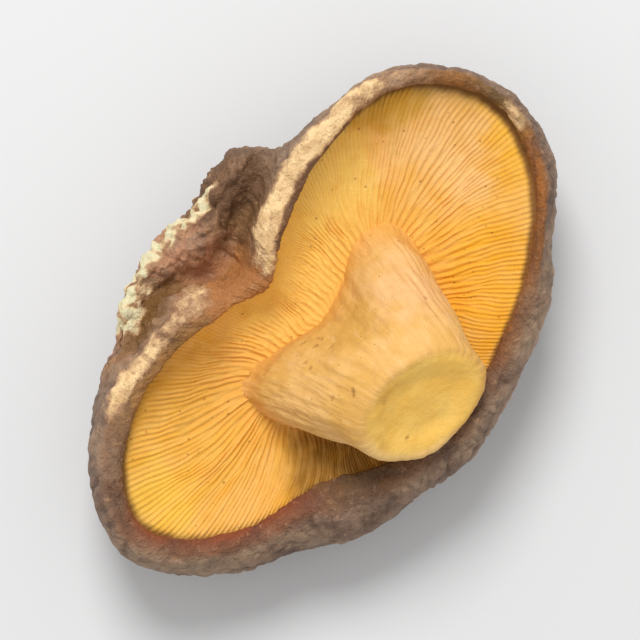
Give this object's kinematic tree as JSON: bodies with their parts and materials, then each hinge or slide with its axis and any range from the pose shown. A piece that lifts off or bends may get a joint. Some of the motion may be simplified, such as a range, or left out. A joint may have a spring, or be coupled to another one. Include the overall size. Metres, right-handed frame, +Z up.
{
  "type": "dried shiitake mushroom",
  "caption": "Dried shiitake lying on its cap, gills up: a folded oval brown cap with a rolled rim, radial gills and a short leaning stem with a cut end.",
  "frame": {"origin": "middle of the bounding box on the surface that the cap's crown lies on", "axes": "+X along the cap's long axis towards its larger lobe, +Y across it towards the side where the rim is folded in, +Z up out of the gills"},
  "size_m": [0.059, 0.0378, 0.0226],
  "materials": {
    "cap_skin": "dry, wrinkled and cracked, with pale flesh in the cracks",
    "gill_flesh": "matt, finely ridged, yellow-orange",
    "stem_flesh": "matt, fibrous, pale peach, with a darker cut end"
  },
  "bodies": {
    "root": {"cap": "cap_skin", "stem": "stem_flesh"}
  },
  "joints": []
}
